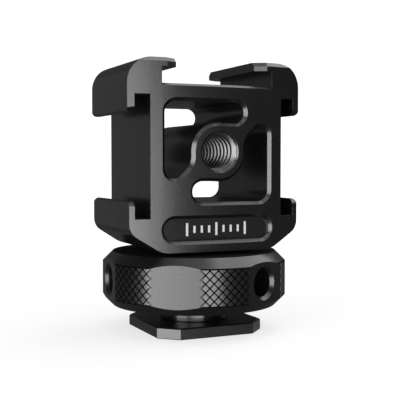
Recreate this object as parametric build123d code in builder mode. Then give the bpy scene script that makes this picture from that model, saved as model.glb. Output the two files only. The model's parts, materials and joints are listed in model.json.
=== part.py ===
from build123d import *
import math
import os

# Triple accessory-shoe adapter: a milled frame with three shoe channels and a tapped centre
# hole, carried on a clamping shoe foot with a knurled lock ring.
# Millimetres. The origin is the centre of the foot plate's underside, +Z is up, the frame's
# labelled face looks along -Y and the left and right shoes open towards -X and +X.

# ---- frame: outline seen from the front ----
FRAME_BOTTOM = 13.55
FRAME_TOP = 43.2
UPPER_HALF_WIDTH = 14.7
LOWER_HALF_WIDTH = 14.45
FACE_RADIUS = 90.0  # the front and back faces are gently convex
FRAME_DEPTH = 19.8  # at the middle, where the faces stand furthest apart
TOP_CORNER_RADIUS = 3.9
TOP_BEVEL = 0.65
SLOPE_HALF_WIDTH = 9.35  # where the sloping lower corners leave the flat bottom
SLOPE_TOP = 16.7  # where they would meet the outer sides
SLOPE_LOWER_RADIUS = 4.0
SLOPE_UPPER_RADIUS = 2.4

# ---- the three shoe channels ----
SHOE_WIDTH = 18.8
SHOE_LIP_GAP = 13.4
SIDE_SHOE_BOTTOM = 18.8
SIDE_FLOOR_HALF_WIDTH = 11.2
SIDE_LIP_INNER_HALF_WIDTH = 13.6
TOP_SHOE_FLOOR = 39.3
TOP_LIP_BOTTOM = 41.8
SIDE_LIP_TIP_RADIUS = 0.6
SIDE_LEAD_IN = 0.7
TOP_LEAD_IN_WIDTH = 1.8
TOP_LEAD_IN_DEPTH = 1.1
TOP_FLOOR_CHAMFER = 0.35

# ---- window pockets, measured from the centre hole ----
HOLE_HEIGHT = 28.95
POCKET_CHAMFER = 0.5
POCKET_SIDE = 8.85
POCKET_TOP = 7.75
POCKET_CORNER_RADIUS = 1.8
ARM_END = 4.4
ARM_RADIUS = 1.62
BOSS_RADIUS = 4.58
LEG_BOTTOM = -4.05
LEG_SLOPE_OFFSET = 2.7
LEG_END_RADIUS = 1.4
BOSS_BLEND_RADIUS = 3.0
ARM_BLEND_RADIUS = 2.5

# ---- label recess ----
RECESS_HEIGHT = 17.0
RECESS_LENGTH = 18.1
RECESS_WIDTH = 3.45
RECESS_DEPTH = 1.3

# ---- tapped centre hole, 1/4 inch 20 threads per inch ----
THREAD_MINOR_RADIUS = 2.55
INSERT_RADIUS = 3.4
INSERT_CHAMFER = 0.6
INSERT_SHY = 0.3  # the insert stops this far below the back face
FRONT_HOLE_RADIUS = 3.06
FRONT_COUNTERSINK = 0.2
FRONT_SHOULDER = 0.4  # metal left in front of the insert, countersink included

# ---- foot plate, post and the fasteners that hold them ----
PLATE_SIZE = 18.2
PLATE_THICKNESS = 1.8
PLATE_CORNER_CUT = 2.8
PLATE_TOP_BEVEL = 0.2
PLATE_BOTTOM_BEVEL = 0.1
NECK_RADIUS = 5.5
NECK_TOP = 4.4
POST_THREAD_RADIUS = 6.0
POST_THREAD_CHAMFER = 0.4
SPIGOT_RADIUS = 3.3
SPIGOT_TOP = 16.0
SCREW_RADIUS = 2.0
SCREW_COUNTERSINK_RADIUS = 3.9  # the plate's 90 degree countersink, at its underside
SCREW_SINK = 0.1  # the head sits this far up inside the countersink
SCREW_TIP = 19.0
SCREW_SOCKET_FLATS = 2.5
SCREW_SOCKET_DEPTH = 1.5
SCREW_CLEARANCE = 0.2
HOLE_END_ROOM = 0.3
FRAME_PIN_RADIUS = 0.7
FRAME_PIN_OFFSET = 4.5
FRAME_PIN_BOTTOM = 11.5
FRAME_PIN_TOP = 16.0
FOOT_PIN_RADIUS = 0.6
FOOT_PIN_OFFSET = 4.6
FOOT_PIN_BOTTOM = 0.7
FOOT_PIN_TOP = 3.9

# ---- lock ring and its slip washer ----
RING_RADIUS = 15.05
RING_BOTTOM = 4.25
RING_TOP = 12.95
RING_CHAMFER = 1.65
RING_FLAT_DISTANCE = 14.43
RING_FLATS = 6
RING_CLOCKING = -35.0  # first plain flat, turned about +Z from the -Y direction
RUNNING_CLEARANCE = 0.05
WRENCH_HOLE_RADIUS = 2.15
WRENCH_HOLE_DEPTH = 6.0
WRENCH_COUNTERSINK = 0.5
WASHER_OUTER_RADIUS = 9.0
WASHER_INNER_RADIUS = 6.3
WASHER_THICKNESS = 1.2
WASHER_STAND_OUT = 0.15

# ---- worked-out values ----
side_shoe_top = SIDE_SHOE_BOTTOM + SHOE_WIDTH
side_shoe_middle = SIDE_SHOE_BOTTOM + SHOE_WIDTH / 2
lower_lip_tip = side_shoe_middle - SHOE_LIP_GAP / 2
upper_lip_tip = side_shoe_middle + SHOE_LIP_GAP / 2
half_depth = FRAME_DEPTH / 2
ring_middle = (RING_TOP + RING_BOTTOM) / 2
washer_bottom = RING_BOTTOM - WASHER_STAND_OUT
washer_top = washer_bottom + WASHER_THICKNESS
insert_front = FRONT_SHOULDER - half_depth
insert_back = half_depth - INSERT_SHY

TO_FRONT = (0, -1, 0)
# Front outlines are drawn on planes behind the frame that look along -Y, and cut or grow forwards.
OUTLINE_PLANE = Plane((0, FRAME_DEPTH, 0), x_dir=(1, 0, 0), z_dir=(0, -1, 0))
HOLE_PLANE = Plane((0, FRAME_DEPTH, HOLE_HEIGHT), x_dir=(1, 0, 0), z_dir=(0, -1, 0))


def face_depth(x):
    """How far the front face stands from the middle plane at a distance x from the centre."""
    return half_depth - FACE_RADIUS + math.sqrt(FACE_RADIUS**2 - x**2)


def frame_outline(corner_radius):
    """The frame's front outline as a face, with its outer top corners rounded or left sharp."""
    right_side = [
        (0, FRAME_BOTTOM),
        (SLOPE_HALF_WIDTH, FRAME_BOTTOM),
        (LOWER_HALF_WIDTH, SLOPE_TOP),
        (LOWER_HALF_WIDTH, lower_lip_tip),
        (SIDE_LIP_INNER_HALF_WIDTH, lower_lip_tip),
        (SIDE_LIP_INNER_HALF_WIDTH, SIDE_SHOE_BOTTOM),
        (SIDE_FLOOR_HALF_WIDTH, SIDE_SHOE_BOTTOM),
        (SIDE_FLOOR_HALF_WIDTH, side_shoe_top),
        (SIDE_LIP_INNER_HALF_WIDTH, side_shoe_top),
        (SIDE_LIP_INNER_HALF_WIDTH, upper_lip_tip),
        (UPPER_HALF_WIDTH, upper_lip_tip),
        (UPPER_HALF_WIDTH, FRAME_TOP),
        (SHOE_LIP_GAP / 2, FRAME_TOP),
        (SHOE_LIP_GAP / 2, TOP_LIP_BOTTOM),
        (SHOE_WIDTH / 2, TOP_LIP_BOTTOM),
        (SHOE_WIDTH / 2, TOP_SHOE_FLOOR),
        (0, TOP_SHOE_FLOOR),
    ]
    with BuildSketch(OUTLINE_PLANE) as outline:
        with BuildLine():
            Polyline(*right_side)
            mirror(about=Plane.YZ)
        make_face()
        rounded = [
            ((SLOPE_HALF_WIDTH, FRAME_BOTTOM), SLOPE_LOWER_RADIUS),
            ((LOWER_HALF_WIDTH, SLOPE_TOP), SLOPE_UPPER_RADIUS),
            ((LOWER_HALF_WIDTH, lower_lip_tip), SIDE_LIP_TIP_RADIUS),
            ((UPPER_HALF_WIDTH, upper_lip_tip), SIDE_LIP_TIP_RADIUS),
        ]
        if corner_radius:
            rounded.append(((UPPER_HALF_WIDTH, FRAME_TOP), corner_radius))
        for (x, z), radius in rounded:
            pair = [outline.vertices().sort_by_distance((side * x, z, 0))[0] for side in (-1, 1)]
            fillet(pair, radius)
    return outline.sketch


def pocket_outline():
    """The upper left window pocket's wall line, on the plane of the centre hole."""
    arm_bottom = POCKET_TOP - 2 * ARM_RADIUS
    boss_meets_arm = math.sqrt(BOSS_RADIUS**2 - arm_bottom**2)
    boss_meets_slope = (-LEG_SLOPE_OFFSET - math.sqrt(2 * BOSS_RADIUS**2 - LEG_SLOPE_OFFSET**2)) / 2
    with BuildSketch(HOLE_PLANE) as pocket:
        with BuildLine():
            Polyline(
                (-POCKET_SIDE, POCKET_TOP),
                (ARM_END - ARM_RADIUS, POCKET_TOP),
                (ARM_END - ARM_RADIUS, arm_bottom),
                (0, arm_bottom),
                (0, LEG_SLOPE_OFFSET),
                (LEG_BOTTOM - LEG_SLOPE_OFFSET, LEG_BOTTOM),
                (-POCKET_SIDE, LEG_BOTTOM),
                (-POCKET_SIDE, POCKET_TOP),
            )
        make_face()
        with Locations((ARM_END - ARM_RADIUS, POCKET_TOP - ARM_RADIUS)):
            Circle(ARM_RADIUS)
        Circle(BOSS_RADIUS, mode=Mode.SUBTRACT)
        rounded = [
            ((-POCKET_SIDE, POCKET_TOP), POCKET_CORNER_RADIUS),
            ((-POCKET_SIDE, LEG_BOTTOM), LEG_END_RADIUS),
            ((LEG_BOTTOM - LEG_SLOPE_OFFSET, LEG_BOTTOM), LEG_END_RADIUS),
            ((boss_meets_slope, boss_meets_slope + LEG_SLOPE_OFFSET), BOSS_BLEND_RADIUS),
            ((boss_meets_arm, arm_bottom), ARM_BLEND_RADIUS),
        ]
        for (x, z), radius in rounded:
            corner = pocket.vertices().sort_by_distance((x, z, 0))[0]
            fillet(corner, radius)
    return pocket.sketch


frame_outline_sharp = frame_outline(0)
frame_outline_round = frame_outline(TOP_CORNER_RADIUS)
pocket_a = pocket_outline()
pocket_b = pocket_a.rotate(Axis((0, 0, HOLE_HEIGHT), (0, 1, 0)), 180)

# ---- shoe frame: one milled block ----
with BuildPart() as shoe_frame:
    extrude(frame_outline_sharp, amount=2 * FRAME_DEPTH, dir=TO_FRONT)
    # Both faces are arcs in plan, so the block is cut to the overlap of two large circles.
    with BuildSketch(Plane.XY):
        with Locations((0, FACE_RADIUS - half_depth)):
            Circle(FACE_RADIUS)
        with Locations((0, half_depth - FACE_RADIUS)):
            Circle(FACE_RADIUS, mode=Mode.INTERSECT)
    extrude(amount=FRAME_TOP + 1, mode=Mode.INTERSECT)
    # The corners of the top lips are cut off in plan.
    tip_x = SHOE_LIP_GAP / 2
    cut_x = tip_x + TOP_LEAD_IN_WIDTH
    cut_y = face_depth(cut_x)
    with BuildSketch(Plane.XY.offset(TOP_LIP_BOTTOM - 0.5)):
        for side in (-1, 1):
            for end in (-1, 1):
                corner_cut = [
                    (side * cut_x, end * cut_y),
                    (side * tip_x, end * (cut_y - TOP_LEAD_IN_DEPTH)),
                    (side * (tip_x - 1), end * (cut_y - TOP_LEAD_IN_DEPTH)),
                    (side * (tip_x - 1), end * (cut_y + 1)),
                    (side * cut_x, end * (cut_y + 1)),
                ]
                with BuildLine():
                    Polyline(*corner_cut, close=True)
                make_face()
    extrude(amount=FRAME_TOP, mode=Mode.SUBTRACT)
    # A bevel runs along the front and back of both top rails and along these corner cuts.
    rail_edges = shoe_frame.faces().sort_by(Axis.Z)[-2:].edges()
    top_edges = rail_edges.filter_by(lambda edge: abs(edge.tangent_at(0.5).Y) < 0.9)
    chamfer(top_edges, TOP_BEVEL)
    extrude(frame_outline_round, amount=2 * FRAME_DEPTH, dir=TO_FRONT, mode=Mode.INTERSECT)
    # Lead-ins: the ends of the side lips are cut at 45 degrees.
    lip_middle = (SIDE_LIP_INNER_HALF_WIDTH + UPPER_HALF_WIDTH) / 2
    lip_face = face_depth(lip_middle)
    for side in (-1, 1):
        with BuildSketch(Plane.YZ.offset(side * lip_middle)):
            for end in (-1, 1):
                for tip, up in ((upper_lip_tip, 1), (lower_lip_tip, -1)):
                    with BuildLine():
                        Polyline(
                            (end * (lip_face + 1), tip + up * (SIDE_LEAD_IN + 1)),
                            (end * (lip_face - SIDE_LEAD_IN - 1), tip - up),
                            (end * (lip_face + 1), tip - up),
                            close=True,
                        )
                    make_face()
        extrude(amount=1, both=True, mode=Mode.SUBTRACT)
    # Window pockets, label recess and the chamfers round everything that opens on the faces.
    for pocket in (pocket_a, pocket_b):
        extrude(pocket, amount=2 * FRAME_DEPTH, dir=TO_FRONT, mode=Mode.SUBTRACT)
    with BuildSketch(OUTLINE_PLANE.offset(FRAME_DEPTH + half_depth - RECESS_DEPTH)):
        with Locations((0, RECESS_HEIGHT)):
            SlotOverall(RECESS_LENGTH, RECESS_WIDTH)
    extrude(amount=FRAME_DEPTH, mode=Mode.SUBTRACT)
    curved_faces = shoe_frame.faces().filter_by(GeomType.CYLINDER).filter_by(
        lambda face: face.radius > FACE_RADIUS - 1
    )
    main_faces = curved_faces.sort_by(SortBy.AREA)[-2:]
    rims = ShapeList([edge for face in main_faces for wire in face.inner_wires() for edge in wire.edges()])
    chamfer(rims, POCKET_CHAMFER)
    # The top shoe's floor has a small chamfer at each end.
    floor_ends = shoe_frame.edges().filter_by(GeomType.CIRCLE).filter_by(
        lambda edge: abs(edge.center().Z - TOP_SHOE_FLOOR) < 0.01
    )
    chamfer(floor_ends, TOP_FLOOR_CHAMFER)
    # Centre hole: a countersunk mouth in front, and a seat for the insert from the back.
    with BuildSketch(HOLE_PLANE):
        Circle(FRONT_HOLE_RADIUS)
    extrude(amount=2 * FRAME_DEPTH, mode=Mode.SUBTRACT)
    mouth = shoe_frame.edges().sort_by_distance((0, -half_depth, HOLE_HEIGHT - FRONT_HOLE_RADIUS))[0]
    chamfer(mouth, FRONT_COUNTERSINK)
    with BuildSketch(HOLE_PLANE):
        Circle(INSERT_RADIUS)
    extrude(amount=FRAME_DEPTH - insert_front, mode=Mode.SUBTRACT)
    # Underside: the spigot's seat, the tapped hole for the clamp screw and two pin holes.
    with BuildSketch(Plane.XY.offset(FRAME_BOTTOM)):
        Circle(SPIGOT_RADIUS)
    extrude(amount=SPIGOT_TOP + HOLE_END_ROOM - FRAME_BOTTOM, mode=Mode.SUBTRACT)
    with BuildSketch(Plane.XY.offset(FRAME_BOTTOM)):
        Circle(SCREW_RADIUS)
    extrude(amount=SCREW_TIP + HOLE_END_ROOM - FRAME_BOTTOM, mode=Mode.SUBTRACT)
    with BuildSketch(Plane.XY.offset(FRAME_BOTTOM)):
        with Locations((-FRAME_PIN_OFFSET, 0), (FRAME_PIN_OFFSET, 0)):
            Circle(FRAME_PIN_RADIUS)
    extrude(amount=FRAME_PIN_TOP + HOLE_END_ROOM - FRAME_BOTTOM, mode=Mode.SUBTRACT)
shoe_frame.part.label = "shoe_frame"

# ---- threaded insert: a plain bush at the thread's minor diameter ----
with BuildPart() as thread_insert:
    with BuildSketch(Plane((0, insert_back, HOLE_HEIGHT), x_dir=(1, 0, 0), z_dir=(0, -1, 0))):
        Circle(INSERT_RADIUS)
        Circle(THREAD_MINOR_RADIUS, mode=Mode.SUBTRACT)
    extrude(amount=insert_back - insert_front)
    bore_ends = thread_insert.edges().filter_by(GeomType.CIRCLE).filter_by(
        lambda edge: edge.radius < INSERT_RADIUS - 0.1
    )
    chamfer(bore_ends, INSERT_CHAMFER)
thread_insert.part.label = "thread_insert"

# ---- foot plate: fits a standard accessory shoe ----
with BuildPart() as foot_plate:
    with BuildSketch() as plate_outline:
        Rectangle(PLATE_SIZE, PLATE_SIZE)
        chamfer(plate_outline.vertices(), PLATE_CORNER_CUT)
    extrude(amount=PLATE_THICKNESS)
    chamfer(foot_plate.faces().sort_by(Axis.Z)[-1].edges(), PLATE_TOP_BEVEL)
    chamfer(foot_plate.faces().sort_by(Axis.Z)[0].edges(), PLATE_BOTTOM_BEVEL)
    with BuildSketch():
        Circle(SCREW_COUNTERSINK_RADIUS)
    extrude(amount=PLATE_THICKNESS, taper=45, mode=Mode.SUBTRACT)
    with BuildSketch(Plane.XY.offset(FOOT_PIN_BOTTOM)):
        with Locations((0, -FOOT_PIN_OFFSET), (0, FOOT_PIN_OFFSET)):
            Circle(FOOT_PIN_RADIUS)
    extrude(amount=PLATE_THICKNESS, mode=Mode.SUBTRACT)
foot_plate.part.label = "foot_plate"

# ---- foot post: plain neck, threaded shank and the spigot that centres the frame ----
with BuildPart() as foot_post:
    with BuildSketch(Plane.XY.offset(PLATE_THICKNESS)):
        Circle(NECK_RADIUS)
    extrude(amount=NECK_TOP - PLATE_THICKNESS)
    with BuildSketch(Plane.XY.offset(NECK_TOP)):
        Circle(POST_THREAD_RADIUS)
    extrude(amount=FRAME_BOTTOM - NECK_TOP)
    thread_start = foot_post.edges().filter_by(GeomType.CIRCLE).filter_by(
        lambda edge: edge.radius > NECK_RADIUS + 0.1 and edge.center().Z < NECK_TOP + 0.1
    )
    chamfer(thread_start, POST_THREAD_CHAMFER)
    with BuildSketch(Plane.XY.offset(FRAME_BOTTOM)):
        Circle(SPIGOT_RADIUS)
    extrude(amount=SPIGOT_TOP - FRAME_BOTTOM)
    with BuildSketch(Plane.XY.offset(PLATE_THICKNESS)):
        Circle(SCREW_RADIUS + SCREW_CLEARANCE)
    extrude(amount=SPIGOT_TOP, mode=Mode.SUBTRACT)
    with BuildSketch(Plane.XY.offset(PLATE_THICKNESS)):
        with Locations((0, -FOOT_PIN_OFFSET), (0, FOOT_PIN_OFFSET)):
            Circle(FOOT_PIN_RADIUS)
    extrude(amount=FOOT_PIN_TOP + HOLE_END_ROOM - PLATE_THICKNESS, mode=Mode.SUBTRACT)
    with BuildSketch(Plane.XY.offset(FRAME_PIN_BOTTOM)):
        with Locations((-FRAME_PIN_OFFSET, 0), (FRAME_PIN_OFFSET, 0)):
            Circle(FRAME_PIN_RADIUS)
    extrude(amount=FRAME_BOTTOM, mode=Mode.SUBTRACT)
foot_post.part.label = "foot_post"

# ---- clamp screw: countersunk, from under the plate up into the frame ----
with BuildPart() as clamp_screw:
    head_radius = SCREW_COUNTERSINK_RADIUS - SCREW_SINK
    head_top = SCREW_COUNTERSINK_RADIUS - SCREW_RADIUS
    with BuildSketch(Plane.XY.offset(SCREW_SINK)):
        Circle(head_radius)
    extrude(amount=head_top - SCREW_SINK, taper=45)
    with BuildSketch(Plane.XY.offset(head_top)):
        Circle(SCREW_RADIUS)
    extrude(amount=SCREW_TIP - head_top)
    with BuildSketch(Plane.XY.offset(SCREW_SINK)):
        RegularPolygon(SCREW_SOCKET_FLATS / 2, 6, major_radius=False)
    extrude(amount=SCREW_SOCKET_DEPTH, mode=Mode.SUBTRACT)
clamp_screw.part.label = "clamp_screw"


def pin_pair(radius, bottom, top, places):
    """Two dowel pins as separate solids in one node."""
    with BuildPart() as pins:
        with BuildSketch(Plane.XY.offset(bottom)):
            with Locations(*places):
                Circle(radius)
        extrude(amount=top - bottom)
    return pins


frame_pins = pin_pair(
    FRAME_PIN_RADIUS, FRAME_PIN_BOTTOM, FRAME_PIN_TOP, [(-FRAME_PIN_OFFSET, 0), (FRAME_PIN_OFFSET, 0)]
)
frame_pins.part.label = "frame_pins"
foot_pins = pin_pair(
    FOOT_PIN_RADIUS, FOOT_PIN_BOTTOM, FOOT_PIN_TOP, [(0, -FOOT_PIN_OFFSET), (0, FOOT_PIN_OFFSET)]
)
foot_pins.part.label = "foot_pins"

# ---- lock ring: runs on the post's thread and clamps the shoe rails against the foot plate ----
with BuildPart() as lock_ring:
    with BuildSketch(Plane.XY.offset(RING_BOTTOM)):
        Circle(RING_RADIUS)
    extrude(amount=RING_TOP - RING_BOTTOM)
    chamfer(lock_ring.edges().filter_by(GeomType.CIRCLE), RING_CHAMFER)
    with BuildSketch(Plane.XY.offset(RING_BOTTOM)):
        RegularPolygon(RING_FLAT_DISTANCE, RING_FLATS, major_radius=False, rotation=RING_CLOCKING)
    extrude(amount=RING_TOP - RING_BOTTOM, mode=Mode.INTERSECT)
    with BuildSketch(Plane.XY.offset(RING_BOTTOM)):
        Circle(POST_THREAD_RADIUS + RUNNING_CLEARANCE)
    extrude(amount=RING_TOP - RING_BOTTOM, mode=Mode.SUBTRACT)
    with BuildSketch(Plane.XY.offset(RING_BOTTOM)):
        Circle(WASHER_OUTER_RADIUS + RUNNING_CLEARANCE)
    extrude(amount=washer_top + RUNNING_CLEARANCE - RING_BOTTOM, mode=Mode.SUBTRACT)
    # Three wrench holes, one in every second flat.
    hole_planes = []
    for turn in range(3):
        angle = math.radians(RING_CLOCKING - 90 + 60 + 120 * turn)
        outward = Vector(math.cos(angle), math.sin(angle), 0)
        hole_planes.append(Plane(outward * RING_FLAT_DISTANCE + Vector(0, 0, ring_middle), z_dir=outward))
    with Locations(*hole_planes):
        CounterSinkHole(
            radius=WRENCH_HOLE_RADIUS,
            counter_sink_radius=WRENCH_HOLE_RADIUS + WRENCH_COUNTERSINK,
            depth=WRENCH_HOLE_DEPTH,
            counter_sink_angle=90,
        )
lock_ring.part.label = "lock_ring"

# ---- slip washer: travels with the ring but doesn't turn against the shoe rails ----
with BuildPart() as slip_washer:
    with BuildSketch(Plane.XY.offset(washer_bottom)):
        Circle(WASHER_OUTER_RADIUS)
        Circle(WASHER_INNER_RADIUS, mode=Mode.SUBTRACT)
    extrude(amount=WASHER_THICKNESS)
slip_washer.part.label = "slip_washer"

os.makedirs("parts", exist_ok=True)
for piece in (
    shoe_frame,
    thread_insert,
    foot_plate,
    foot_post,
    clamp_screw,
    frame_pins,
    foot_pins,
    lock_ring,
    slip_washer,
):
    export_step(piece.part, f"parts/{piece.part.label}.step")
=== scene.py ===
import json
import math

import bpy
from mathutils import Matrix, Vector


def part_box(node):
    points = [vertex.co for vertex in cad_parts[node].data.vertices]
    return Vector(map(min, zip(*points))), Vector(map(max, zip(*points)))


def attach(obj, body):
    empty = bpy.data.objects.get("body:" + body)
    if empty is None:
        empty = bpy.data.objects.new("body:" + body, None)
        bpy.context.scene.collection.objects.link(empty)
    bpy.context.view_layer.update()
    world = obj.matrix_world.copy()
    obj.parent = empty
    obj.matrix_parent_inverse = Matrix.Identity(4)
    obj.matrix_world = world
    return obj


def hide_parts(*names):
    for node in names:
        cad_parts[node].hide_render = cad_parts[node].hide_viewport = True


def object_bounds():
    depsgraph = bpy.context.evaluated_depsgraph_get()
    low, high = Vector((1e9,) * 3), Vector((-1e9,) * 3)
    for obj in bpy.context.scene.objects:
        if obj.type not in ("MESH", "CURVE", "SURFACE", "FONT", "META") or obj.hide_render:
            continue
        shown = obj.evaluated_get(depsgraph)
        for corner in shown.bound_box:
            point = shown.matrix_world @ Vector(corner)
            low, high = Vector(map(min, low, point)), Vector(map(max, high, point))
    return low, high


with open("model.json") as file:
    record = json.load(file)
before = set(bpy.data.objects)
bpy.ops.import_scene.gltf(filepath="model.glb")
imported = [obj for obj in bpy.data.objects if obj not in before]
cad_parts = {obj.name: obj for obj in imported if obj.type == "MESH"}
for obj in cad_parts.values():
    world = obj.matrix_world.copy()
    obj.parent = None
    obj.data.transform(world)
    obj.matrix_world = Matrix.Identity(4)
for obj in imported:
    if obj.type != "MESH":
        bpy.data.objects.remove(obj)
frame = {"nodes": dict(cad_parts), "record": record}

# Triple accessory-shoe adapter. Metres, in the CAD frame: +Z up, the labelled face looks along -Y.
MM = 0.001
cad_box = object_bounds()

# ---- sizes that the frame's boxes don't give ----
RING_CHAMFER = 1.65 * MM
RING_FLAT_DISTANCE = 14.43 * MM
RING_CLOCKING = math.radians(-35.0)  # first plain flat, turned about +Z from the -Y direction
WASHER_SEAT_RADIUS = 9.05 * MM
WASHER_SEAT_DEPTH = 1.1 * MM
RING_BORE_RADIUS = 6.05 * MM
RING_BORE_CHAMFER = 0.3 * MM
WRENCH_COUNTERSINK = 0.5 * MM
WRENCH_HOLE_DEPTH = 6.0 * MM
DRILL_POINT = 0.8 * MM
DRILL_TIP_RADIUS = 0.05 * MM
KNURL_COUNT = 72
KNURL_STEPS = 14  # mesh columns to one diamond
KNURL_DEPTH = 0.2 * MM
NECK_RADIUS = 5.5 * MM
NECK_TOP = 4.4 * MM
NECK_EDGE = 0.1 * MM
POST_PITCH = 1.0 * MM
POST_THREAD_DEPTH = 0.6 * MM
POST_CREST_SHARE = 0.07  # half the flat at the crest, as a share of the pitch
POST_FLANK_SHARE = 0.36
POST_STEPS_PER_TURN = 12
SPIGOT_RADIUS = 3.3 * MM
SCREW_HOLE_RADIUS = 2.2 * MM
INCH = 25.4 * MM
TRIPOD_PITCH = INCH / 20
TRIPOD_MAJOR_RADIUS = INCH / 8 + 0.02 * MM
TRIPOD_ROOT_SHARE = 0.04  # half the flat at the root
TRIPOD_FLANK_SHARE = 0.26
TRIPOD_STEPS_PER_TURN = 24
INSERT_FRONT_CHAMFER = 0.6 * MM
RECESS_DEPTH = 1.3 * MM
RECESS_HEIGHT = 17.0 * MM
TICK_COUNT = 9
TICK_SPACING = 1.25 * MM
TICK_WIDTH = 0.36 * MM
TICK_RELIEF = 0.04 * MM
LONG_TICK_HALF_HEIGHT = 1.0 * MM
SHORT_TICK_HALF_HEIGHT = 0.55 * MM
TICKS_PER_LONG_TICK = 4
FLOOR_HALF = 3.0
FLOOR_DEPTH = 20 * MM
FLOOR_DROP = 0.02 * MM

# ---- mesh resolution ----
THREAD_COLUMNS = 96
DRILL_COLUMNS = 64
RING_SMOOTH_ANGLE = 28  # degrees; sharper edges stay crisp
POST_SMOOTH_ANGLE = 35
INSERT_SMOOTH_ANGLE = 50
TINY = 1e-6  # metres, for telling one surface of a lathed piece from the next

# ---- mesh helpers ----


def lathe(name, profile, columns, shape=None, closed=True):
    """A mesh turned about +Z from (radius, height) points, as a closed loop or capped at both ends.

    shape(radius, height, angle) may change a point's radius, for a knurl or a thread."""
    verts = []
    radii = []
    for radius, height in profile:
        for column in range(columns):
            angle = 2 * math.pi * column / columns
            r = shape(radius, height, angle) if shape else radius
            radii.append(r)
            verts.append((r * math.cos(angle), r * math.sin(angle), height))
    rows = len(profile)
    faces = []
    for row in range(rows if closed else rows - 1):
        low = row * columns
        high = (row + 1) % rows * columns
        for column in range(columns):
            beside = (column + 1) % columns
            a, b, c, d = low + column, low + beside, high + beside, high + column
            across = radii[a] + radii[c] - radii[b] - radii[d]
            # A groove's bottom runs along a diagonal, so the quad is split there.
            if abs(across) < TINY / 10:
                faces.append((a, b, c, d))
            elif across < 0:
                faces += [(a, b, c), (a, c, d)]
            else:
                faces += [(a, b, d), (b, c, d)]
    if not closed:
        faces.append(tuple(reversed(range(columns))))
        faces.append(tuple(range((rows - 1) * columns, rows * columns)))
    mesh = bpy.data.meshes.new(name)
    mesh.from_pydata(verts, [], faces)
    mesh.validate()
    return mesh


def prism(name, outline, low, high):
    """A solid with a flat outline of (x, y) points, anticlockwise, between two heights."""
    count = len(outline)
    verts = [(x, y, z) for z in (low, high) for x, y in outline]
    faces = [tuple(reversed(range(count))), tuple(range(count, 2 * count))]
    for i in range(count):
        j = (i + 1) % count
        faces.append((i, j, count + j, count + i))
    mesh = bpy.data.meshes.new(name)
    mesh.from_pydata(verts, [], faces)
    return mesh


def add_object(name, mesh):
    obj = bpy.data.objects.new(name, mesh)
    bpy.context.scene.collection.objects.link(obj)
    return obj


def join_meshes(name, meshes):
    """One mesh from several, in their own coordinates."""
    verts, faces = [], []
    for mesh in meshes:
        start = len(verts)
        verts += [tuple(v.co) for v in mesh.vertices]
        faces += [tuple(start + i for i in p.vertices) for p in mesh.polygons]
    joined = bpy.data.meshes.new(name)
    joined.from_pydata(verts, [], faces)
    return joined


def boolean(obj, tool_mesh, operation):
    """Cuts or intersects obj's mesh with a tool mesh, and removes the tool."""
    tool = add_object("tool", tool_mesh)
    modifier = obj.modifiers.new("cut", "BOOLEAN")
    modifier.object = tool
    modifier.operation = operation
    modifier.solver = "EXACT"
    bpy.context.view_layer.update()
    depsgraph = bpy.context.evaluated_depsgraph_get()
    result = bpy.data.meshes.new_from_object(obj.evaluated_get(depsgraph))
    obj.modifiers.clear()
    obj.data = result
    bpy.data.objects.remove(tool)


def smooth(mesh, angle):
    """Smooth shading with sharp edges where faces meet at more than an angle in degrees."""
    mesh.shade_smooth()
    mesh.set_sharp_from_angle(angle=math.radians(angle))


def finish_piece(obj, body, node=None):
    if node:
        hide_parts(node)
    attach(obj, body)


# ---- materials ----
BROAD_NOISE = 6.0  # mm
NOISE_LOW, NOISE_HIGH = 0.3, 0.7  # the part of the noise that is used
FINE_ROUGHNESS = 0.07  # as a share of the roughness
BROAD_ROUGHNESS = 0.02
# Painted edge highlight: between these two cosines the colour is lightened along edges.
EDGE_HIGHLIGHT_STARTS, EDGE_HIGHLIGHT_FULL = 0.98, 0.8  # cosine between the rounded normal and the true one


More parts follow.
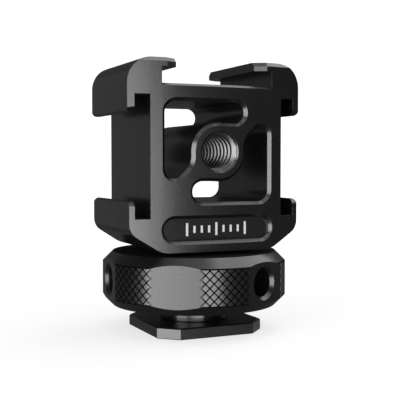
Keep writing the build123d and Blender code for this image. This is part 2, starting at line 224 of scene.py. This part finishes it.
def material(name, color, roughness, metallic=0.0, **sockets):
    """A node material whose colour, roughness and surface vary with procedural noise.

    In sockets, grain is the noise's size in mm, bump its depth in mm, variation the colour's change
    as a share, edge the painted highlight that lightens the colour along edges, edge_radius their
    size in mm, and specular the specular level."""
    grain = sockets.get("grain", 0.08)
    bump_depth = sockets.get("bump", 0.002)
    edge_highlight_gain = sockets.get("edge", 0.0)
    edge_radius = sockets.get("edge_radius", 0.1)
    variation = sockets.get("variation", 0.25)
    made = bpy.data.materials.new(name)
    made.use_nodes = True
    nodes, links = made.node_tree.nodes, made.node_tree.links
    shader = nodes["Principled BSDF"]
    shader.inputs["Metallic"].default_value = metallic
    shader.inputs["Specular IOR Level"].default_value = sockets.get("specular", 0.5)
    coordinates = nodes.new("ShaderNodeTexCoord")

    def noise(size_mm, detail):
        node = nodes.new("ShaderNodeTexNoise")
        node.inputs["Scale"].default_value = 1 / (size_mm * MM)
        node.inputs["Detail"].default_value = detail
        links.new(coordinates.outputs["Object"], node.inputs["Vector"])
        return node.outputs["Fac"]

    def to_range(source, low, high):
        node = nodes.new("ShaderNodeMapRange")
        node.inputs["From Min"].default_value = NOISE_LOW
        node.inputs["From Max"].default_value = NOISE_HIGH
        node.inputs["To Min"].default_value = low
        node.inputs["To Max"].default_value = high
        links.new(source, node.inputs["Value"])
        return node.outputs["Result"]

    fine = noise(grain, 3)
    broad = noise(BROAD_NOISE, 4)
    rough = nodes.new("ShaderNodeMath")
    rough.operation = "ADD"
    fine_low, fine_high = roughness * (1 - FINE_ROUGHNESS), roughness * (1 + FINE_ROUGHNESS)
    links.new(to_range(fine, fine_low, fine_high), rough.inputs[0])
    links.new(to_range(broad, -BROAD_ROUGHNESS, BROAD_ROUGHNESS), rough.inputs[1])
    links.new(rough.outputs[0], shader.inputs["Roughness"])

    tint = nodes.new("ShaderNodeMix")
    tint.data_type = "RGBA"
    low = [c * (1 - variation) for c in color]
    high = [c * (1 + variation) for c in color]
    tint.inputs["A"].default_value = (*low, 1)
    tint.inputs["B"].default_value = (*high, 1)
    links.new(to_range(fine, 0, 1), tint.inputs["Factor"])
    shade = tint.outputs["Result"]

    bump = nodes.new("ShaderNodeBump")
    bump.inputs["Distance"].default_value = bump_depth * MM
    bump.inputs["Strength"].default_value = 1.0
    links.new(fine, bump.inputs["Height"])
    if edge_highlight_gain:
        # Painted edge highlight: where a rounded normal leaves the true one, the colour is lightened.
        bevel = nodes.new("ShaderNodeBevel")
        bevel.samples = 6
        bevel.inputs["Radius"].default_value = edge_radius * MM
        links.new(bevel.outputs["Normal"], bump.inputs["Normal"])
        geometry = nodes.new("ShaderNodeNewGeometry")
        turn = nodes.new("ShaderNodeVectorMath")
        turn.operation = "DOT_PRODUCT"
        links.new(bevel.outputs["Normal"], turn.inputs[0])
        links.new(geometry.outputs["Normal"], turn.inputs[1])
        edge_highlight_ramp = nodes.new("ShaderNodeMapRange")
        edge_highlight_ramp.inputs["From Min"].default_value = EDGE_HIGHLIGHT_STARTS
        edge_highlight_ramp.inputs["From Max"].default_value = EDGE_HIGHLIGHT_FULL
        links.new(turn.outputs["Value"], edge_highlight_ramp.inputs["Value"])
        patchy = nodes.new("ShaderNodeMath")
        patchy.operation = "MULTIPLY"
        links.new(edge_highlight_ramp.outputs["Result"], patchy.inputs[0])
        links.new(to_range(broad, 0.3, 1.0), patchy.inputs[1])
        edge_highlight_mix = nodes.new("ShaderNodeMix")
        edge_highlight_mix.data_type = "RGBA"
        links.new(patchy.outputs[0], edge_highlight_mix.inputs["Factor"])
        links.new(shade, edge_highlight_mix.inputs["A"])
        edge_highlight_mix.inputs["B"].default_value = (*[min(1, c + edge_highlight_gain) for c in color], 1)
        shade = edge_highlight_mix.outputs["Result"]
    links.new(shade, shader.inputs["Base Color"])
    links.new(bump.outputs["Normal"], shader.inputs["Normal"])
    return made


ANODISED_BLACK = (0.0012, 0.0012, 0.0013)
# edge lightens the colour along edges as a painted highlight.
anodised = material("black_anodised", ANODISED_BLACK, 0.27, edge=0.013, edge_radius=0.04)
anodised_ring = material("black_anodised_ring", ANODISED_BLACK, 0.27, bump=0.001)
# Painted shade: the knurl's groove walls get a darker, nearly matt material with almost no reflection.
shaded_knurl_groove = material("shaded_knurl_groove", (0.0008, 0.0008, 0.0008), 0.8, specular=0.02)
# Painted shade: the ring's top face lies in the frame's shadow and gets a darker, nearly matt material.
shaded_ring_top = material("shaded_ring_top", (0.001, 0.001, 0.001), 0.7, specular=0.1)
anodised_post = material("black_anodised_post", ANODISED_BLACK, 0.2)
anodised_plate = material("black_anodised_plate", ANODISED_BLACK, 0.33, edge=0.02, edge_radius=0.05)
bare_steel = material(
    "bare_steel", (0.095, 0.094, 0.092), 0.34, metallic=1.0, grain=0.15, variation=0.08
)
dark_steel = material(
    "dark_steel", (0.3, 0.3, 0.31), 0.32, metallic=1.0, grain=0.15, variation=0.1
)
washer_plastic = material("washer_plastic", (0.03, 0.03, 0.03), 0.55, grain=0.3)
mark_paint = material("mark_paint", (0.2, 0.2, 0.2), 0.6, grain=0.12, variation=0.12)
floor_paint = material(
    "floor_paint", (0.14, 0.14, 0.14), 0.7, grain=40, bump=0.0, variation=0.01, specular=0.0
)


def glow(made, near, far, start, end):
    """Light of the material's own, from near to far strength as the distance from the origin grows."""
    nodes, links = made.node_tree.nodes, made.node_tree.links
    coordinates = nodes.new("ShaderNodeTexCoord")
    distance = nodes.new("ShaderNodeVectorMath")
    distance.operation = "LENGTH"
    links.new(coordinates.outputs["Object"], distance.inputs[0])
    strength = nodes.new("ShaderNodeMapRange")
    strength.inputs["From Min"].default_value = start
    strength.inputs["From Max"].default_value = end
    strength.inputs["To Min"].default_value = near
    strength.inputs["To Max"].default_value = far
    links.new(distance.outputs["Value"], strength.inputs["Value"])
    shader = nodes["Principled BSDF"]
    shader.inputs["Emission Color"].default_value = (1, 1, 1, 1)
    links.new(strength.outputs["Result"], shader.inputs["Emission Strength"])


GLOW_NEAR, GLOW_FAR = 0.7, 1.0
GLOW_START, GLOW_END = 60 * MM, 200 * MM
glow(floor_paint, GLOW_NEAR, GLOW_FAR, GLOW_START, GLOW_END)


def paint(obj, chosen):
    obj.data.materials.clear()
    obj.data.materials.append(chosen)


nodes_by_name = frame["nodes"]
paint(nodes_by_name["shoe_frame"], anodised)
paint(nodes_by_name["foot_plate"], anodised_plate)
paint(nodes_by_name["clamp_screw"], dark_steel)
paint(nodes_by_name["frame_pins"], dark_steel)
paint(nodes_by_name["foot_pins"], dark_steel)
paint(nodes_by_name["slip_washer"], washer_plastic)

# ---- lock ring: knurled, flatted and drilled ----
ring_low, ring_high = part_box("lock_ring")
ring_radius = ring_high.y
ring_middle = (ring_low.z + ring_high.z) / 2
band_low = ring_low.z + RING_CHAMFER
band_high = ring_high.z - RING_CHAMFER
knurl_pitch = 2 * math.pi * ring_radius / KNURL_COUNT
knurl_step = knurl_pitch / KNURL_STEPS


def knurl(radius, height, angle):
    """Two families of V grooves at 45 degrees leave flat-topped diamonds; low walls stay as they are."""
    if radius < ring_radius - RING_CHAMFER + TINY:
        return radius
    along = angle * ring_radius
    nearest = knurl_pitch
    for across in (along + height - ring_middle, along - height + ring_middle):
        offset = across % knurl_pitch
        nearest = min(nearest, offset, knurl_pitch - offset)
    cut = KNURL_DEPTH * max(0.0, 1 - nearest / knurl_step)
    return min(radius, ring_radius - cut)


band_rows = []
rows_each_way = int((band_high - band_low) / 2 / knurl_step)
for row in range(-rows_each_way, rows_each_way + 1):
    band_rows.append((ring_radius, ring_middle + row * knurl_step))
ring_profile = [
    (RING_BORE_RADIUS, ring_low.z + WASHER_SEAT_DEPTH),
    (WASHER_SEAT_RADIUS, ring_low.z + WASHER_SEAT_DEPTH),
    (WASHER_SEAT_RADIUS, ring_low.z),
    (ring_radius - RING_CHAMFER, ring_low.z),
    (ring_radius - KNURL_DEPTH, band_low - KNURL_DEPTH),
    (ring_radius - KNURL_DEPTH / 2, band_low - KNURL_DEPTH / 2),
    (ring_radius, band_low),
    *band_rows,
    (ring_radius, band_high),
    (ring_radius - KNURL_DEPTH / 2, band_high + KNURL_DEPTH / 2),
    (ring_radius - KNURL_DEPTH, band_high + KNURL_DEPTH),
    (ring_radius - RING_CHAMFER, ring_high.z),
    (RING_BORE_RADIUS + RING_BORE_CHAMFER, ring_high.z),
    (RING_BORE_RADIUS, ring_high.z - RING_BORE_CHAMFER),
]
ring = add_object(
    "knurled_lock_ring",
    lathe("knurled_lock_ring", ring_profile, KNURL_COUNT * KNURL_STEPS, knurl),
)
RING_SLOTS = (anodised_ring, shaded_knurl_groove, shaded_ring_top)
for ring_material in RING_SLOTS:
    ring.data.materials.append(ring_material)
UPRIGHT_LIMIT = 0.9  # a face whose normal has a smaller share of Z than this is no end face
# Painted shade on the ring: the groove walls and the top face get darker, nearly matt materials.
for face in ring.data.polygons:
    reach = min(math.hypot(*ring.data.vertices[i].co[:2]) for i in face.vertices)
    in_band = band_low - MM < face.center.z < band_high + MM
    if in_band and ring_radius - KNURL_DEPTH - TINY / 10 < reach < ring_radius - TINY:
        if abs(face.normal.z) < UPRIGHT_LIMIT:
            face.material_index = RING_SLOTS.index(shaded_knurl_groove)
    elif face.center.z > ring_high.z - TINY:
        face.material_index = RING_SLOTS.index(shaded_ring_top)
FLAT_COUNT = 6
half_sector = math.pi / FLAT_COUNT
corner_reach = RING_FLAT_DISTANCE / math.cos(half_sector)
flats = []
for corner in range(FLAT_COUNT):
    angle = RING_CLOCKING - math.pi / 2 + half_sector * (1 + 2 * corner)
    flats.append((corner_reach * math.cos(angle), corner_reach * math.sin(angle)))
boolean(ring, prism("flats", flats, ring_low.z - MM, ring_high.z + MM), "INTERSECT")

wrench_mounts = [m for m in frame["record"]["mounts"] if m["name"].startswith("wrench_hole")]
drills = []
for mount in wrench_mounts:
    hole_radius = mount["dims"]["r_mm"] * MM
    drill = lathe(
        "drill",
        [
            (DRILL_TIP_RADIUS, -WRENCH_HOLE_DEPTH - DRILL_POINT),
            (hole_radius, -WRENCH_HOLE_DEPTH),
            (hole_radius, -WRENCH_COUNTERSINK),
            (hole_radius + WRENCH_COUNTERSINK + MM, MM),
        ],
        DRILL_COLUMNS,
        closed=False,
    )
    outward = Vector(mount["axis"])
    place = Matrix.Translation(outward * RING_FLAT_DISTANCE + Vector((0, 0, ring_middle)))
    drill.transform(place @ outward.to_track_quat("Z", "Y").to_matrix().to_4x4())
    drills.append(drill)
boolean(ring, join_meshes("drills", drills), "DIFFERENCE")
smooth(ring.data, RING_SMOOTH_ANGLE)
finish_piece(ring, "ring", "lock_ring")

# ---- foot post: neck, thread and spigot ----
post_low, post_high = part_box("foot_post")
post_radius = post_high.y
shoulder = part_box("shoe_frame")[0].z


def post_thread(radius, height, angle):
    """A 60 degree thread with flat crests, between the neck and the shoulder."""
    if radius < post_radius - TINY or not NECK_TOP < height < shoulder:
        return radius
    turn = (height / POST_PITCH - angle / (2 * math.pi)) % 1
    depth = max(0.0, min(1.0, (abs(turn - 0.5) - POST_CREST_SHARE) / POST_FLANK_SHARE))
    lead = min(1.0, (height - NECK_TOP) / POST_PITCH)
    return min(post_radius, post_radius - POST_THREAD_DEPTH * (1 - lead * (1 - depth)))


post_rows = []
post_steps = POST_STEPS_PER_TURN * round((shoulder - NECK_TOP) / POST_PITCH)
for row in range(1, post_steps):
    post_rows.append((post_radius, NECK_TOP + (shoulder - NECK_TOP) * row / post_steps))
post_profile = [
    (SCREW_HOLE_RADIUS, post_low.z),
    (NECK_RADIUS - NECK_EDGE, post_low.z),
    (NECK_RADIUS, post_low.z + NECK_EDGE),
    (NECK_RADIUS, NECK_TOP),
    *post_rows,
    (post_radius - POST_THREAD_DEPTH, shoulder),
    (SPIGOT_RADIUS, shoulder),
    (SPIGOT_RADIUS, post_high.z),
    (SCREW_HOLE_RADIUS, post_high.z),
]
post = add_object("threaded_post", lathe("threaded_post", post_profile, THREAD_COLUMNS, post_thread))
smooth(post.data, POST_SMOOTH_ANGLE)
paint(post, anodised_post)
finish_piece(post, "adapter", "foot_post")

# ---- threaded insert: 1/4 inch 20 thread turned about +Z, then laid along the frame's +Y ----
insert_low, insert_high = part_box("thread_insert")
hole_mount = next(m for m in frame["record"]["mounts"] if m["name"] == "centre_thread")
minor_radius = hole_mount["dims"]["r_mm"] * MM
insert_radius = (insert_high.x - insert_low.x) / 2
hole_height = hole_mount["pos_m"][2]


def tripod_thread(radius, height, angle):
    """Internal thread: crests at the minor radius, roots at the major, with a chamfer at each end."""
    if radius > minor_radius + TINY:
        return radius
    turn = (height / TRIPOD_PITCH - angle / (2 * math.pi)) % 1
    depth = max(0.0, min(1.0, (abs(turn - 0.5) - TRIPOD_ROOT_SHARE) / TRIPOD_FLANK_SHARE))
    root = TRIPOD_MAJOR_RADIUS - (TRIPOD_MAJOR_RADIUS - minor_radius) * depth
    from_end = min(height - insert_low.y, insert_high.y - height)
    return max(root, minor_radius + INSERT_FRONT_CHAMFER - from_end)


bore_rows = []
insert_length = insert_high.y - insert_low.y
bore_steps = TRIPOD_STEPS_PER_TURN * round(insert_length / TRIPOD_PITCH)
for row in range(bore_steps + 1):
    bore_rows.append((minor_radius, insert_low.y + insert_length * row / bore_steps))
insert_profile = [*bore_rows, (insert_radius, insert_high.y), (insert_radius, insert_low.y)]
insert = add_object(
    "threaded_bush", lathe("threaded_bush", insert_profile, THREAD_COLUMNS, tripod_thread)
)
lay_along_y = Matrix(((0, 1, 0, 0), (0, 0, 1, 0), (1, 0, 0, hole_height), (0, 0, 0, 1)))
insert.data.transform(lay_along_y)
smooth(insert.data, INSERT_SMOOTH_ANGLE)
paint(insert, bare_steel)
finish_piece(insert, "adapter", "thread_insert")

# ---- recess marks: plain graduation ticks on the recess's floor ----
recess_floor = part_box("shoe_frame")[0].y + RECESS_DEPTH
ticks = []
for index in range(TICK_COUNT):
    middle = (index - (TICK_COUNT - 1) / 2) * TICK_SPACING
    is_long = index % TICKS_PER_LONG_TICK == 0
    half_height = LONG_TICK_HALF_HEIGHT if is_long else SHORT_TICK_HALF_HEIGHT
    left, right = middle - TICK_WIDTH / 2, middle + TICK_WIDTH / 2
    outline = [
        (left, -half_height),
        (right, -half_height),
        (right, half_height),
        (left, half_height),
    ]
    ticks.append(prism("tick", outline, -TICK_RELIEF, TICK_RELIEF))
marks = add_object("recess_ticks", join_meshes("recess_ticks", ticks))
marks.data.transform(
    Matrix.Translation((0, recess_floor, RECESS_HEIGHT)) @ Matrix.Rotation(math.pi / 2, 4, "X")
)
paint(marks, mark_paint)
finish_piece(marks, "adapter")

# ---- floor ----
floor_outline = [
    (-FLOOR_HALF, -FLOOR_HALF),
    (FLOOR_HALF, -FLOOR_HALF),
    (FLOOR_HALF, FLOOR_HALF),
    (-FLOOR_HALF, FLOOR_HALF),
]
floor = add_object("floor", prism("floor", floor_outline, -FLOOR_DEPTH, -FLOOR_DROP))
paint(floor, floor_paint)
floor.visible_glossy = False
floor.visible_diffuse = False
floor.visible_shadow = False

# ---- light ----
centre = (cad_box[0] + cad_box[1]) / 2


def softbox(name, azimuth, elevation, distance, width, height, radiance):
    """An area light that faces the object. Azimuth 0 is in front of the labelled face, 90 on +X."""
    data = bpy.data.lights.new(name, "AREA")
    data.shape = "RECTANGLE"
    data.size = width
    data.size_y = height
    data.energy = radiance * math.pi * width * height
    obj = bpy.data.objects.new(name, data)
    bpy.context.scene.collection.objects.link(obj)
    around, up = math.radians(azimuth), math.radians(elevation)
    outward = Vector(
        (math.sin(around) * math.cos(up), -math.cos(around) * math.cos(up), math.sin(up))
    )
    obj.location = centre + outward * distance
    obj.rotation_euler = outward.to_track_quat("Z", "Y").to_euler()


# name, azimuth and elevation in degrees, distance, width and height in metres, radiance
SOFTBOXES = (
    ("key_left", -65, 0, 0.5, 0.34, 0.5, 10.0),
    ("key_front", -15.5, -10, 0.5, 0.43, 0.4, 7.8),
    ("right_top", 98, 54, 0.5, 0.44, 0.5, 3.1),
    ("overhead", 0, 88, 0.6, 0.5, 0.3, 1.0),
    ("front_top", -5, 60, 0.5, 0.8, 0.2, 2.4),
    ("front_fill", 32, -8, 0.5, 0.4, 0.3, 0.07),
    ("back_left_fill", -152, 4, 0.5, 0.35, 0.4, 0.1),
    ("right_low", 102, -4, 0.5, 0.3, 0.4, 0.4),
)
for settings in SOFTBOXES:
    softbox(*settings)

# Mirror-like rays find a dark studio, while the camera and the diffuse light find a white one.
GLOSSY_AMBIENT = 0.08
SEEN_WHITE = 1.15
world = bpy.data.worlds.new("studio")
bpy.context.scene.world = world
world.use_nodes = True
sky, sky_links = world.node_tree.nodes, world.node_tree.links
ambient = sky["Background"]
ambient.inputs["Color"].default_value = (1, 1, 1, 1)
ambient.inputs["Strength"].default_value = GLOSSY_AMBIENT
seen = sky.new("ShaderNodeBackground")
seen.inputs["Color"].default_value = (1, 1, 1, 1)
seen.inputs["Strength"].default_value = SEEN_WHITE
path = sky.new("ShaderNodeLightPath")
blend = sky.new("ShaderNodeMixShader")
sky_links.new(path.outputs["Is Glossy Ray"], blend.inputs["Fac"])
sky_links.new(seen.outputs[0], blend.inputs[1])
sky_links.new(ambient.outputs[0], blend.inputs[2])
sky_links.new(blend.outputs[0], sky["World Output"].inputs["Surface"])
bpy.context.scene.view_settings.view_transform = "Standard"

# ---- camera ----
CAMERA_AZIMUTH = math.radians(-24.57)
CAMERA_ELEVATION = math.radians(2.52)
CAMERA_DISTANCE = 139.5 * MM
LOOKS_AT = Vector((1.13, 0, 21.11)) * MM
SENSOR_WIDTH = 36.0
FOCAL_LENGTH = 75.6
camera_data = bpy.data.cameras.new("camera")
camera_data.sensor_width = SENSOR_WIDTH
camera_data.lens = FOCAL_LENGTH
camera_data.clip_start = MM
camera = bpy.data.objects.new("camera", camera_data)
bpy.context.scene.collection.objects.link(camera)
backward = Vector(
    (
        math.sin(CAMERA_AZIMUTH) * math.cos(CAMERA_ELEVATION),
        -math.cos(CAMERA_AZIMUTH) * math.cos(CAMERA_ELEVATION),
        math.sin(CAMERA_ELEVATION),
    )
)
camera.location = LOOKS_AT + backward * CAMERA_DISTANCE
camera.rotation_euler = backward.to_track_quat("Z", "Y").to_euler()
bpy.context.scene.camera = camera
